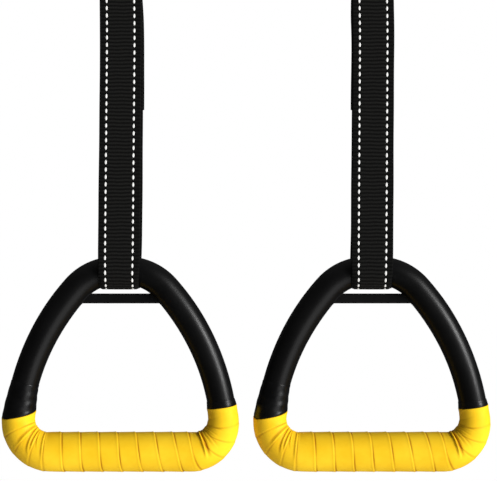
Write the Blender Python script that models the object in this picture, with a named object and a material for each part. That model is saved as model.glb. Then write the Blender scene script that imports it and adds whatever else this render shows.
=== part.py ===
"""A pair of gymnastics rings.

Each unit hangs from a swivel snap hook. A loop of flat webbing runs from the hook's eye down the front,
under the top of a rounded triangular tube handle and up the back into a cam buckle. The handle has a
welded cross bar, and a foam pad under grip tape on its bottom bar and corners.

Metres, +Z up, +X along the pair, the user in front at -Y. The origin is the bearing land inside the left
hook. Heights written as "h" are above the axis of the handle's tube at its top.
"""

import math

import bmesh
import bpy
from mathutils import Matrix, Vector

MM = 0.001
GAP = 0.3 * MM  # between neighbouring pieces

# the pair
SPACING = 231.3 * MM
EYE_BELOW_BEARING = 97 * MM
STRAP_DROP = 362 * MM  # from the eye's bar to the tube's axis
Z_EYE = -EYE_BELOW_BEARING
Z_TUBE = Z_EYE - STRAP_DROP

# handle: half of its centreline, from the top's middle down to the bottom bar's middle
TUBE_R = 12.7 * MM
TUBE_WALL = 2 * MM
TOP_FLAT = 5 * MM
SHOULDER_R = 48.2 * MM
SHOULDER_END = math.radians(48.35)  # below level
LEG_R = 215.9 * MM
LEG_END = math.radians(83.2)
CORNER_R = 29 * MM
TUBE_END_GAP = 1 * MM
TUBE_SIDES = 12
ARC_CUTS = (1, 5, 5, 6, 1)  # of the five stretches of half the centreline
SPIGOT_HALF = 38 * MM
BAR_DROP = 25.5 * MM
BAR_HEIGHT = 9 * MM
BAR_DEPTH = 6 * MM

# grip: drops are below the tube's axis at its top
TAPE_DROP = {-1: 131 * MM, 1: 124.6 * MM}
TAPE_END_R = {-1: 15.2 * MM, 1: 14.9 * MM}
GRIP_R = 18.15 * MM
TAPE_THICK = 1.3 * MM
WIDE_BAND = (103 * MM, 13.9 * MM, 15 * MM)  # upper drop, upper radius, lower radius
NARROW_BAND = (118.8 * MM, 14.2 * MM, 14.7 * MM)

# webbing
WEB_HALF = 19 * MM
WEB_HALF_AT_TUBE = 18 * MM
WEB_THICK = 2 * MM
WEB_NARROW = 40 * MM  # height over which it narrows to the tube
WRAP_R = 16.3 * MM  # middle of the webbing, under the tube
WRAP_OUT = 17 * MM  # where its slanting runs meet the wrap's lowest level
EYE_WRAP_R = 6.6 * MM  # middle of the webbing, over the eye's bar
WEB_STEP = math.radians(15)
SEWN_START, SEWN_LENGTH = 14 * MM, 38 * MM  # above the anchor bar
SEWN_BEND = 5 * MM
TAIL = ((14.1 * MM, 255 * MM), (30 * MM, 236 * MM), (32 * MM, 185 * MM), (35 * MM, 150 * MM))
TAIL_BEND = 14 * MM

# cam buckle
PLATE_Y = 11.6 * MM
PLATE_THICK = 2.4 * MM
PLATE_LOW, PLATE_HIGH = 264 * MM, 290 * MM
CHEEK_IN, CHEEK_OUT = 20 * MM, 22 * MM
CHEEK = (  # outline: y, height and corner radius, in mm
    (3.5, 261, 3),
    (20, 257, 5),
    (32, 267, 6),
    (32, 283, 6),
    (15, 314.5, 6),
    (2.5, 314.5, 4),
)
RIVET_OUT, RIVET_HEAD = 23.6 * MM, 1.4 * MM  # where rivets end, and how much wider their heads are
ANCHOR_Y, ANCHOR_H, ANCHOR_R = 7.9 * MM, 308 * MM, 3 * MM
AXLE_Y, AXLE_H, AXLE_R = 24.5 * MM, 276 * MM, 2.7 * MM
CAM_HALF = 17.5 * MM
CAM_REACH = 9.05 * MM  # from the axle to just short of the webbing
CAM_MOST, CAM_ROOT, CAM_HUB = 9.6 * MM, 8.3 * MM, 6.5 * MM
CAM_TEETH = 6
TOOTH_STEP = math.radians(10)
LEVER_TURN = math.radians(235)  # from the plate, downwards round the axle
LEVER_LENGTH = 26 * MM
LEVER_ROOT, LEVER_TIP = 3.4 * MM, 1.6 * MM  # half thicknesses
CAM_SPRING_R, CAM_WIRE_R = 4.1 * MM, 0.35 * MM
WIRE_PITCH = 2.2  # of both springs, in wire radii

# swivel eye
EYE_BAR_R = 5 * MM
EYE_HALF = 26 * MM
EYE_SIDE = 14 * MM
EYE_HIGH = 33 * MM
EYE_TOP_HALF = 8 * MM
EYE_CORNER, EYE_SHOULDER = 7 * MM, 8 * MM
STEM_R, COLLAR_R, HEAD_R, WASHER_R = 4 * MM, 6.5 * MM, 6 * MM, 6.8 * MM
WASHER_THICK = 1.2 * MM
HEAD_THICK = 2.8 * MM
ROUND_SIDES = 16  # of the stem, the washer and the barrel

# snap hook
HOOK_BEND_R = 17 * MM
HOOK_SIDE = 19 * MM  # from the axis to the middle of the spine
HOOK_BASE = -47 * MM
NOSE_LOW, NOSE_ROUND = -17 * MM, 2 * MM
HOOK_HALF, HOOK_HALF_Y, HOOK_CHAMFER = 5 * MM, 4.5 * MM, 1.8 * MM
BARREL_R = 8.5 * MM
BARREL_TOP, BARREL_LOW = -40 * MM, -56 * MM
PIN_X, PIN_Z, PIN_R = -15.5 * MM, -37 * MM, 1.6 * MM
PIN_HEAD_R, PIN_OUT, PIN_SHOULDER = 2.6 * MM, 5.6 * MM, 4.5 * MM
LATCH_X, LATCH_Z, LATCH_TIP_R, LATCH_ROOT_R = -10 * MM, -14 * MM, 2.8 * MM, 3.6 * MM
LATCH_HALF_Y = 4.2 * MM
LUG_Y = (-2.4 * MM, -0.2 * MM)
LUG = (  # outline: x and z, in mm
    (-5, -53),
    (-14, -45),
    (-19, -40.5),
    (-19, -36),
    (-15.5, -33.6),
    (-12, -36),
    (-9.5, -43.2),
    (-5, -43.2),
)
FORK_Y, FORK_HIGH = (-2.7 * MM, 2.5 * MM), 8 * MM
LATCH_SPRING_R, LATCH_WIRE_R = 2.6 * MM, 0.35 * MM


# --- materials and objects ---------------------------------------------------------------------------


def principled(name, colour, roughness, metallic=0.0):
    found = bpy.data.materials.new(name)
    found.use_nodes = True
    shader = found.node_tree.nodes["Principled BSDF"]
    shader.inputs["Base Color"].default_value = (*colour, 1.0)
    shader.inputs["Roughness"].default_value = roughness
    shader.inputs["Metallic"].default_value = metallic
    return found


def new_object(name, bm, material=None, pivot=(0, 0, 0), unit=None):
    """An object of that mesh, drawn in its unit's frame, with its origin moved to pivot."""
    bmesh.ops.recalc_face_normals(bm, faces=bm.faces)
    mesh = bpy.data.meshes.new(name)
    bm.to_mesh(mesh)
    bm.free()
    mesh.shade_smooth()
    mesh.set_sharp_from_angle(angle=math.radians(35))
    mesh.transform(Matrix.Translation(-Vector(pivot)))
    if material:
        mesh.materials.append(material)
    obj = bpy.data.objects.new(name, mesh)
    bpy.context.scene.collection.objects.link(obj)
    obj.location = pivot
    obj.parent = unit
    return obj


def boolean(target, operation, name, bm, unit):
    """Cuts from target, or joins to it, the mesh bm, which stays as a hidden guide."""
    guide = new_object(f"{target.name}_{name}", bm, unit=unit)
    guide.hide_render = True
    guide.display_type = "WIRE"
    modifier = target.modifiers.new(name, "BOOLEAN")
    modifier.operation = operation
    modifier.object = guide


# --- shapes ------------------------------------------------------------------------------------------


def skin(rings, closed=False, inner=None):
    """A surface through rings of points. Its ends are filled, or joined to the rings inside it."""
    bm = bmesh.new()
    outer = [[bm.verts.new(p) for p in ring] for ring in rings]
    layers = [outer]
    if inner:
        layers.append([[bm.verts.new(p) for p in ring] for ring in inner])
    for layer in layers:
        pairs = list(zip(layer, layer[1:]))
        if closed:
            pairs.append((layer[-1], layer[0]))
        for a, b in pairs:
            bridge(bm, a, b)
    if inner:
        bridge(bm, outer[0], layers[1][0])
        bridge(bm, outer[-1], layers[1][-1])
    elif not closed:
        bm.faces.new(outer[0])
        bm.faces.new(outer[-1])
    return bm


def bridge(bm, a, b):
    for i in range(len(a)):
        j = (i + 1) % len(a)
        bm.faces.new((a[i], a[j], b[j], b[i]))


def circle(centre, u, v, radius, sides):
    turns = [math.tau * (i + 0.5) / sides for i in range(sides)]
    return [centre + radius * (math.cos(t) * u + math.sin(t) * v) for t in turns]


def turned(profile, axis, centre, sides):
    """A solid of revolution. The profile is (position along the axis, radius) pairs."""
    along = Vector(axis)
    u = along.orthogonal().normalized()
    v = along.cross(u)
    return skin([circle(Vector(centre) + along * s, u, v, r, sides) for s, r in profile])


def prism(outline, axis, low, high):
    """An outline of (first, second) coordinates extruded along the axis "X" (y, z) or "Y" (x, z)."""
    if axis == "X":
        rings = [[Vector((x, a, b)) for a, b in outline] for x in (low, high)]
    else:
        rings = [[Vector((a, y, b)) for a, b in outline] for y in (low, high)]
    return skin(rings)


def block(low, high):
    corners = [(low[0], low[2]), (high[0], low[2]), (high[0], high[2]), (low[0], high[2])]
    return prism(corners, "Y", low[1], high[1])


def wire(points, radius, sides, closed=False):
    """A round bar along points, with its section carried along without twist."""
    count = len(points)
    tangents = []
    for i in range(count):
        a = points[i - 1] if i or closed else points[0]
        b = points[(i + 1) % count] if i < count - 1 or closed else points[-1]
        tangents.append((b - a).normalized())
    u = tangents[0].orthogonal().normalized()
    rings = []
    for point, tangent in zip(points, tangents):
        u = (u - u.dot(tangent) * tangent).normalized()
        rings.append(circle(point, u, tangent.cross(u), radius, sides))
    return skin(rings, closed=closed)


def rounded(corners, step, closed=False):
    """A route through (a, b, radius) corners, each turned by an arc in equal steps of at most step."""
    count = len(corners)
    points = []
    for i, (a, b, radius) in enumerate(corners):
        here = Vector((a, b))
        if not closed and i in (0, count - 1):
            points.append(here)
            continue
        back = (Vector(corners[i - 1][:2]) - here).normalized()
        on = (Vector(corners[(i + 1) % count][:2]) - here).normalized()
        turn = math.pi - back.angle(on)
        if radius <= 0 or turn < 1e-4:
            points.append(here)
            continue
        reach = radius * math.tan(turn / 2)
        centre = here + (back + on).normalized() * math.hypot(radius, reach)
        start, end = here + back * reach - centre, here + on * reach - centre
        sign = 1 if start.x * end.y - start.y * end.x > 0 else -1
        steps = max(1, math.ceil(turn / step - 1e-6))
        for k in range(steps + 1):
            t = sign * turn * k / steps
            c, s = math.cos(t), math.sin(t)
            points.append(centre + Vector((start.x * c - start.y * s, start.x * s + start.y * c)))
    return [p for i, p in enumerate(points) if i == 0 or (p - points[i - 1]).length > GAP / 10]


# --- handle ------------------------------------------------------------------------------------------


def handle_arcs():
    """(length, radius, heading at its start, x, drop) of the half centreline's stretches."""
    stretches = []
    x, drop, heading = 0.0, 0.0, 0.0
    stretches.append((TOP_FLAT, None, heading, x, drop))
    x += TOP_FLAT
    for radius, end in ((SHOULDER_R, SHOULDER_END), (LEG_R, LEG_END), (CORNER_R, math.pi)):
        stretches.append((radius * (end - heading), radius, heading, x, drop))
        x += radius * (math.sin(end) - math.sin(heading))
        drop += radius * (math.cos(heading) - math.cos(end))
        heading = end
    stretches.append((x, None, heading, x, drop))
    return stretches


ARCS = handle_arcs()
HALF_LENGTH = sum(arc[0] for arc in ARCS)
BOTTOM_START = sum(arc[0] for arc in ARCS[:4])
PAD_START = BOTTOM_START - ARCS[3][0] * (1 - 1 / ARC_CUTS[3])  # at the corner's first cut
HANDLE_DROP = ARCS[-1][4]


def wrapped(s):
    """Every s as a distance from the top that is negative on the left half and positive on the right."""
    return (s + HALF_LENGTH) % (2 * HALF_LENGTH) - HALF_LENGTH


def curve_station(s):
    """(centre, outward direction in the handle's plane) on the curved centreline."""
    left, side = abs(s), -1 if s < 0 else 1
    for arc in ARCS:
        length, radius, heading, x, drop = arc
        if left <= length or arc is ARCS[-1]:
            break
        left -= length
    if radius is None:
        x, drop = x + left * math.cos(heading), drop + left * math.sin(heading)
    else:
        end = heading + left / radius
        x += radius * (math.sin(end) - math.sin(heading))
        drop += radius * (math.cos(heading) - math.cos(end))
        heading = end
    return Vector((side * x, 0, Z_TUBE - drop)), Vector((side * math.sin(heading), 0, math.cos(heading)))


def centreline_marks():
    """Where the tube's straight facets meet, over the whole centreline."""
    half, s = [0.0], 0.0
    for (length, *_), count in zip(ARCS, ARC_CUTS):
        half += [s + length * (k + 1) / count for k in range(count)]
        s += length
    return sorted({-m for m in half} | set(half))


MARKS = centreline_marks()


def handle_station(s):
    """The same at any s, on the facets between the marks, so that every sleeve follows the faceted tube."""
    s = wrapped(s)
    a, b = next((a, b) for a, b in zip(MARKS, MARKS[1:]) if s <= b + GAP / 10)
    for mark in (a, b):
        if abs(s - mark) < GAP / 10:
            return curve_station(mark)
    (start, _), (end, _) = curve_station(a), curve_station(b)
    chord = (end - start).normalized()
    return start.lerp(end, (s - a) / (b - a)), Vector((-chord.z, 0, chord.x))


def station_at_drop(drop):
    """How far along the centreline its leg reaches that drop."""
    _, radius, heading, _, high = ARCS[2]
    end = math.acos(math.cos(heading) - (drop - high) / radius)
    return ARCS[0][0] + ARCS[1][0] + radius * (end - heading)


def handle_stations(start, end):
    """Stations from start to end: those, and the marks between them."""
    marks = [*MARKS[:-1], *(mark + 2 * HALF_LENGTH for mark in MARKS)]
    return [start, *(m for m in marks if start + GAP < m < end - GAP), end]


def sleeve(stations, outer, inner):
    """A tube along the handle with an outer and an inner radius at each station."""
    rings, holes = [], []
    for s in stations:
        centre, out = handle_station(s)
        rings.append(circle(centre, out, Vector((0, 1, 0)), outer(s), TUBE_SIDES))
        holes.append(circle(centre, out, Vector((0, 1, 0)), inner(s), TUBE_SIDES))
    return skin(rings, inner=holes)


def tape_radius(s):
    """Outer radius of the grip tape: it grows from its ends on the legs to the thick bottom bar."""
    s = wrapped(s)
    side = -1 if s < 0 else 1
    start = station_at_drop(TAPE_DROP[side])
    t = min(1.0, max(0.0, (abs(s) - start) / (BOTTOM_START + 5 * MM - start)))
    return TAPE_END_R[side] + (GRIP_R - TAPE_END_R[side]) * t * t * (3 - 2 * t)


def inner_half_width(drop):
    """Half of the handle's inside width at a drop on its shoulders."""
    s = TOP_FLAT
    while True:
        centre, out = handle_station(s)
        edge = centre - TUBE_R * out
        if Z_TUBE - edge.z >= drop:
            return edge.x
        s += 0.2 * MM


def handle_tube():
    end = HALF_LENGTH - TUBE_END_GAP / 2
    return sleeve(handle_stations(-end, end), lambda s: TUBE_R, lambda s: TUBE_R - TUBE_WALL)


def tube_spigot():
    """A plug inside the tube's flats, across the gap between its ends."""
    radius = (TUBE_R - TUBE_WALL) * math.cos(math.pi / TUBE_SIDES) - GAP
    profile = [(-SPIGOT_HALF, radius - MM), (MM - SPIGOT_HALF, radius)]
    profile += [(-s, r) for s, r in reversed(profile)]
    return turned(profile, (1, 0, 0), (0, 0, Z_TUBE - HANDLE_DROP), TUBE_SIDES)


def cross_bar():
    top, low = BAR_DROP - BAR_HEIGHT / 2, BAR_DROP + BAR_HEIGHT / 2
    outline = [
        (side * (inner_half_width(drop) - GAP), Z_TUBE - drop)
        for side, drop in ((-1, top), (-1, low), (1, low), (1, top))
    ]
    return prism(outline, "Y", -BAR_DEPTH / 2, BAR_DEPTH / 2)


def grip_pad():
    stations = handle_stations(PAD_START, 2 * HALF_LENGTH - PAD_START)
    return sleeve(stations, lambda s: tape_radius(s) - TAPE_THICK - GAP, lambda s: TUBE_R + GAP)


def grip_tape():
    """The tape's sleeve: close on the tube at its ends and over the pad between them."""

    def inner(s):
        return tape_radius(s) - TAPE_THICK if abs(wrapped(s)) > PAD_START - GAP else TUBE_R + GAP

    start, end = station_at_drop(TAPE_DROP[1]), 2 * HALF_LENGTH - station_at_drop(TAPE_DROP[-1])
    return sleeve(handle_stations(start, end), tape_radius, inner)


def band(side, size):
    """A short wrap of finishing tape on a leg, above the grip tape."""
    upper, upper_r, lower_r = size
    start, end = station_at_drop(upper), station_at_drop(TAPE_DROP[side]) - GAP

    def outer(s):
        return upper_r + (lower_r - upper_r) * (abs(s) - start) / (end - start)

    return sleeve(handle_stations(*sorted((side * start, side * end))), outer, lambda s: TUBE_R + GAP)


# --- webbing and cam buckle ---------------------------------------------------------------------------


def web_route():
    """The middle of the webbing as (y, h) points, from its sewn end to the end of its tail."""
    fold = PLATE_THICK / 2 + GAP + WEB_THICK / 2
    anchor = ANCHOR_R + GAP + WEB_THICK / 2
    sewn = (WEB_THICK + GAP) / 2
    corners = [
        (ANCHOR_Y + sewn, ANCHOR_H + SEWN_LENGTH, 0),
        (ANCHOR_Y + sewn, ANCHOR_H + SEWN_START, SEWN_BEND),
        (ANCHOR_Y + anchor, ANCHOR_H + SEWN_BEND, SEWN_BEND),
        (ANCHOR_Y + anchor, ANCHOR_H - anchor, anchor),
        (ANCHOR_Y - anchor, ANCHOR_H - anchor, anchor),
        (ANCHOR_Y - anchor, ANCHOR_H + SEWN_BEND, SEWN_BEND),
        (ANCHOR_Y - sewn, ANCHOR_H + SEWN_START, SEWN_BEND),
        (EYE_WRAP_R, STRAP_DROP + EYE_WRAP_R, EYE_WRAP_R),
        (-EYE_WRAP_R, STRAP_DROP + EYE_WRAP_R, EYE_WRAP_R),
        (-WRAP_OUT, -WRAP_R, WRAP_R),
        (WRAP_OUT, -WRAP_R, WRAP_R),
        (PLATE_Y - fold, PLATE_LOW, WRAP_R),
        (PLATE_Y - fold, PLATE_HIGH + fold, fold),
        (PLATE_Y + fold, PLATE_HIGH + fold, fold),
        *((y, h, TAIL_BEND) for y, h in TAIL),
    ]
    return rounded(corners, WEB_STEP)


def webbing():
    """One flat strip along the route, a little narrower where it wraps the tube."""
    points = web_route()
    rings = []
    for i, point in enumerate(points):
        before, after = points[max(i - 1, 0)], points[min(i + 1, len(points) - 1)]
        along = (after - before).normalized()
        bend = (point - before).angle(after - point, 0) if 0 < i < len(points) - 1 else 0
        across = Vector((-along.y, along.x)) * (WEB_THICK / 2) / math.cos(bend / 2)
        high = min(1.0, max(0.0, (point.y + WRAP_R) / WEB_NARROW))
        half = WEB_HALF_AT_TUBE + (WEB_HALF - WEB_HALF_AT_TUBE) * high
        corners = ((-half, -1), (half, -1), (half, 1), (-half, 1))
        rings.append([at_height(x, *(point + side * across)) for x, side in corners])
    return skin(rings)


def at_height(x, y, h):
    return Vector((x, y, Z_TUBE + h))


def raised(outline):
    """An outline of (y, h) points as (y, z)."""
    return [(y, Z_TUBE + h) for y, h in outline]


def rivet(axis, centre, radius, shoulder, out, head, sides=12):
    """A pin with a head at each end."""
    half = [(-out, head), (-shoulder, head), (-shoulder, radius)]
    return turned([*half, *((-s, r) for s, r in reversed(half))], axis, centre, sides)


def cheek_rivet(y, h, radius):
    head = radius + RIVET_HEAD
    return rivet((1, 0, 0), at_height(0, y, h), radius, CHEEK_OUT + GAP, RIVET_OUT, head)


def buckle_frame():
    """A plate that the webbing folds over, between cheeks with holes for the anchor bar and the axle."""
    half = PLATE_THICK / 2
    turns = [math.pi * k / 6 for k in range(7)]
    fold = [(PLATE_Y + half * math.cos(t), PLATE_HIGH + half * math.sin(t)) for t in turns]
    plate = [(PLATE_Y - half, PLATE_LOW), (PLATE_Y + half, PLATE_LOW), *fold]
    cheek = rounded([(y * MM, h * MM, r * MM) for y, h, r in CHEEK], math.radians(30), closed=True)
    guides = []
    for word, side in (("near", -1), ("far", 1)):
        low, high = sorted((side * CHEEK_IN, side * CHEEK_OUT))
        guides.append(("UNION", f"{word}_cheek", prism(raised(cheek), "X", low, high)))
    for word, y, h, radius in (
        ("anchor", ANCHOR_Y, ANCHOR_H, ANCHOR_R),
        ("axle", AXLE_Y, AXLE_H, AXLE_R),
    ):
        hole = [(-2 * CHEEK_OUT, radius + GAP), (2 * CHEEK_OUT, radius + GAP)]
        guides.append(("DIFFERENCE", f"{word}_holes", turned(hole, (1, 0, 0), at_height(0, y, h), 12)))
    return prism(raised(plate), "X", -CHEEK_IN - MM, CHEEK_IN + MM), guides


def round_axle(turn, radius):
    """A point round the axle, turning from the plate downwards."""
    return (AXLE_Y - radius * math.cos(turn), AXLE_H - radius * math.sin(turn))


def cam_lever():
    """A toothed cam that pinches the webbing on the plate, with the thumb lever that lifts it off."""
    outline = [round_axle(math.radians(-20), CAM_HUB), round_axle(0, CAM_ROOT)]
    for k in range(CAM_TEETH):
        tip = TOOTH_STEP * (k + 0.9)
        outline.append(round_axle(tip, min(CAM_MOST, CAM_REACH / math.cos(tip))))
        outline.append(round_axle(tip + TOOTH_STEP * 0.15, CAM_ROOT))
    last = TOOTH_STEP * CAM_TEETH
    hub_end = LEVER_TURN - math.asin(LEVER_ROOT / CAM_HUB)
    outline += [round_axle(last + (hub_end - last) * k / 6, CAM_HUB) for k in range(1, 7)]
    out = Vector(round_axle(LEVER_TURN, 1)) - Vector((AXLE_Y, AXLE_H))
    side = Vector((out.y, -out.x))
    end = Vector((AXLE_Y, AXLE_H)) + out * LEVER_LENGTH
    outline += [end + side * LEVER_TIP, end + out * LEVER_TIP, end - side * LEVER_TIP]
    outline.append(round_axle(2 * LEVER_TURN - hub_end, CAM_HUB))
    outline.append(round_axle((2 * LEVER_TURN - hub_end + math.radians(340)) / 2, CAM_HUB))
    bore = [(-CHEEK_OUT, AXLE_R + GAP), (CHEEK_OUT, AXLE_R + GAP)]
    hole = turned(bore, (1, 0, 0), at_height(0, AXLE_Y, AXLE_H), 12)
    return prism(raised(outline), "X", -CAM_HALF, CAM_HALF), [("DIFFERENCE", "bore", hole)]


def coil_spring(centre, along, radius, wire_r, turns, legs):
    """A torsion spring: a coil about along that starts downwards, with a straight leg at each end."""
    along, u = Vector(along), Vector((0, 0, -1))
    pitch = WIRE_PITCH * wire_r
    v = along.cross(u)
    count = round(turns * 10)
    points = []
    for k in range(count + 1):
        t = math.tau * turns * k / count
        around = radius * (math.cos(t) * u + math.sin(t) * v)
        points.append(Vector(centre) + around + along * pitch * t / math.tau)
    ahead = (points[1] - points[0]).normalized()
    on = (points[-1] - points[-2]).normalized()
    return wire([points[0] - ahead * legs[0], *points, points[-1] + on * legs[1]], wire_r, 6)


def cam_spring():
    start = at_height(CAM_HALF + 2 * CAM_WIRE_R, AXLE_Y, AXLE_H)
    return coil_spring(start, (1, 0, 0), CAM_SPRING_R, CAM_WIRE_R, 1.25, (7 * MM, 9 * MM))


# --- swivel eye and snap hook -------------------------------------------------------------------------


def swivel_eye():
    """A rounded eye with a straight bar for the webbing, and a headed stem for the hook's barrel."""
    corners = [
        (-EYE_HALF, 0, EYE_CORNER),
        (EYE_HALF, 0, EYE_CORNER),
        (EYE_HALF, EYE_SIDE, EYE_CORNER),
        (EYE_TOP_HALF, EYE_HIGH, EYE_SHOULDER),
        (-EYE_TOP_HALF, EYE_HIGH, EYE_SHOULDER),
        (-EYE_HALF, EYE_SIDE, EYE_CORNER),
    ]
    loop = [Vector((x, 0, Z_EYE + h)) for x, h in rounded(corners, math.radians(30), closed=True)]
    head = BARREL_TOP + WASHER_THICK + 2 * GAP
    stem = [
        (Z_EYE + EYE_HIGH, COLLAR_R - MM),
        (Z_EYE + EYE_HIGH + EYE_BAR_R, COLLAR_R),
        (BARREL_LOW - GAP, COLLAR_R),
        (BARREL_LOW - GAP, STEM_R),
        (head, STEM_R),
        (head, HEAD_R),
        (head + HEAD_THICK / 2, HEAD_R),
        (head + HEAD_THICK, HEAD_R / 2),
    ]
    guide = turned(stem, (0, 0, 1), (0, 0, 0), ROUND_SIDES)
    return wire(loop, EYE_BAR_R, 12, closed=True), [("UNION", "stem", guide)]


def swivel_washer():
    low = BARREL_TOP + GAP
    rings, holes = [], []
    for z in (low, low + WASHER_THICK):
        centre, u, v = Vector((0, 0, z)), Vector((1, 0, 0)), Vector((0, 1, 0))
        rings.append(circle(centre, u, v, WASHER_R, ROUND_SIDES))
        holes.append(circle(centre, u, v, STEM_R + GAP, ROUND_SIDES))
    return skin(rings, inner=holes)


def hook_body():
    """A flat-sided hook from its nose over the bearing land and down its spine to the barrel."""
    top = HOOK_HALF
    corners = [
        (-HOOK_SIDE, NOSE_LOW, 0),
        (-HOOK_SIDE, top, HOOK_BEND_R),
        (HOOK_SIDE, top, HOOK_BEND_R),
        (HOOK_SIDE, HOOK_BASE, HOOK_BEND_R),
        (0, HOOK_BASE, 0),
    ]
    points = rounded(corners, math.radians(18))
    rings = [flat_section(Vector((-HOOK_SIDE, NOSE_LOW - NOSE_ROUND)), Vector((0, 1)), 0.6)]
    for i, point in enumerate(points):
        along = points[min(i + 1, len(points) - 1)] - points[max(i - 1, 0)]
        rings.append(flat_section(point, along.normalized(), 1))
    barrel = [
        (BARREL_LOW, BARREL_R - MM),
        (BARREL_LOW + MM, BARREL_R),
        (BARREL_TOP - MM, BARREL_R),
        (BARREL_TOP, BARREL_R - MM),
    ]
    bore = [(2 * BARREL_LOW, STEM_R + GAP), (0, STEM_R + GAP)]
    lug = prism([(x * MM, z * MM) for x, z in LUG], "Y", *LUG_Y)
    guides = [
        ("UNION", "barrel", turned(barrel, (0, 0, 1), (0, 0, 0), ROUND_SIDES)),
        ("UNION", "lug", lug),
        ("DIFFERENCE", "bore", turned(bore, (0, 0, 1), (0, 0, 0), ROUND_SIDES)),
        ("DIFFERENCE", "pin_hole", pin_hole()),
    ]
    return skin(rings), guides


def flat_section(point, along, scale):
    """The hook's section: a rectangle with cut corners, whose inner side is flat."""
    out = Vector((-along.y, 0, along.x))
    a, b, c = HOOK_HALF * scale, HOOK_HALF_Y * scale, HOOK_CHAMFER * scale
    corners = [(a, b - c), (a - c, b), (c - a, b), (-a, b - c)]
    corners += [(u, -v) for u, v in reversed(corners)]
    return [Vector((point.x, 0, point.y)) + out * u + Vector((0, v, 0)) for u, v in corners]


def pin_hole():
    bore = [(-2 * PIN_OUT, PIN_R + GAP), (2 * PIN_OUT, PIN_R + GAP)]
    return turned(bore, (0, 1, 0), (PIN_X, 0, PIN_Z), 10)


def latch():
    """A bar that closes the hook's mouth from inside its nose, forked over the lug."""
    pin, tip = Vector((PIN_X, PIN_Z)), Vector((LATCH_X, LATCH_Z))
    lean = math.atan2(tip.y - pin.y, tip.x - pin.x)
    outline = []
    for centre, radius, middle in ((tip, LATCH_TIP_R, lean), (pin, LATCH_ROOT_R, lean + math.pi)):
        turns = [middle + math.pi * (k / 5 - 0.5) for k in range(6)]
        outline += [centre + radius * Vector((math.cos(t), math.sin(t))) for t in turns]
    high = PIN_Z + FORK_HIGH
    slot = block((-2 * HOOK_SIDE, FORK_Y[0], 2 * PIN_Z), (2 * HOOK_SIDE, FORK_Y[1], high))
    guides = [("DIFFERENCE", "fork", slot), ("DIFFERENCE", "pin_hole", pin_hole())]
    return prism(outline, "Y", -LATCH_HALF_Y, LATCH_HALF_Y), guides


def latch_spring():
    start = (PIN_X, LUG_Y[1] + 2 * LATCH_WIRE_R, PIN_Z)
    return coil_spring(start, (0, 1, 0), LATCH_SPRING_R, LATCH_WIRE_R, 1.75, (5.5 * MM, 6 * MM))


# --- the pair -----------------------------------------------------------------------------------------


def make_unit(side, x, looks):
    unit = bpy.data.objects.new(f"{side}_unit", None)
    unit.location = (x, 0, 0)
    bpy.context.scene.collection.objects.link(unit)
    hook, swivel, eye = (0, 0, 0), (0, 0, BARREL_LOW), (0, 0, Z_EYE)
    pin, axle, tube = (PIN_X, 0, PIN_Z), (0, AXLE_Y, Z_TUBE + AXLE_H), (0, 0, Z_TUBE)
    pieces = (
        ("hook_body", hook_body(), "zinc", hook),
        ("latch_pin", rivet((0, 1, 0), pin, PIN_R, PIN_SHOULDER, PIN_OUT, PIN_HEAD_R), "steel", hook),
        ("latch_spring", latch_spring(), "steel", hook),
        ("latch", latch(), "zinc", pin),
        ("swivel_eye", swivel_eye(), "zinc", swivel),
        ("swivel_washer", swivel_washer(), "steel", swivel),
        ("webbing", webbing(), "webbing", eye),
        ("buckle_frame", buckle_frame(), "steel", eye),
        ("anchor_bar", cheek_rivet(ANCHOR_Y, ANCHOR_H, ANCHOR_R), "steel", eye),
        ("cam_axle", cheek_rivet(AXLE_Y, AXLE_H, AXLE_R), "steel", eye),
        ("cam_spring", cam_spring(), "steel", eye),
        ("cam_lever", cam_lever(), "zinc", axle),
        ("handle_tube", handle_tube(), "black_coat", tube),
        ("tube_spigot", tube_spigot(), "steel", tube),
        ("cross_bar", cross_bar(), "black_coat", tube),
        ("grip_pad", grip_pad(), "foam", tube),
        ("grip_tape", grip_tape(), "yellow_tape", tube),
        ("wide_band", band(-1, WIDE_BAND), "black_tape", tube),
        ("narrow_band", band(1, NARROW_BAND), "black_tape", tube),
    )
    for name, shape, look, pivot in pieces:
        bm, guides = shape if isinstance(shape, tuple) else (shape, ())
        piece = new_object(f"{side}_{name}", bm, looks[look], pivot, unit)
        for operation, word, guide in guides:
            boolean(piece, operation, word, guide, unit)


def main():
    for obj in list(bpy.data.objects):
        bpy.data.objects.remove(obj)
    looks = {
        "black_coat": principled("black_coat", (0.012, 0.012, 0.013), 0.45),
        "webbing": principled("webbing", (0.02, 0.02, 0.022), 0.85),
        "yellow_tape": principled("yellow_tape", (1.0, 0.62, 0.02), 0.45),
        "black_tape": principled("black_tape", (0.015, 0.015, 0.015), 0.4),
        "foam": principled("foam", (0.03, 0.03, 0.03), 0.9),
        "zinc": principled("zinc", (0.55, 0.56, 0.58), 0.35, 1.0),
        "steel": principled("steel", (0.45, 0.46, 0.48), 0.3, 1.0),
    }
    make_unit("left", 0, looks)
    make_unit("right", SPACING, looks)


main()
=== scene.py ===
"""The looks of a pair of gymnastics rings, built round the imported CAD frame.

Each unit is drawn about x = 0 and then set at its own x. The handle is followed by p, the distance along
its centreline from the bottom bar's middle, positive towards the right leg. A turn about that centreline
is 0 on the outside of the handle, a quarter on the front and a half on the inside.
"""

import math

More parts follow.
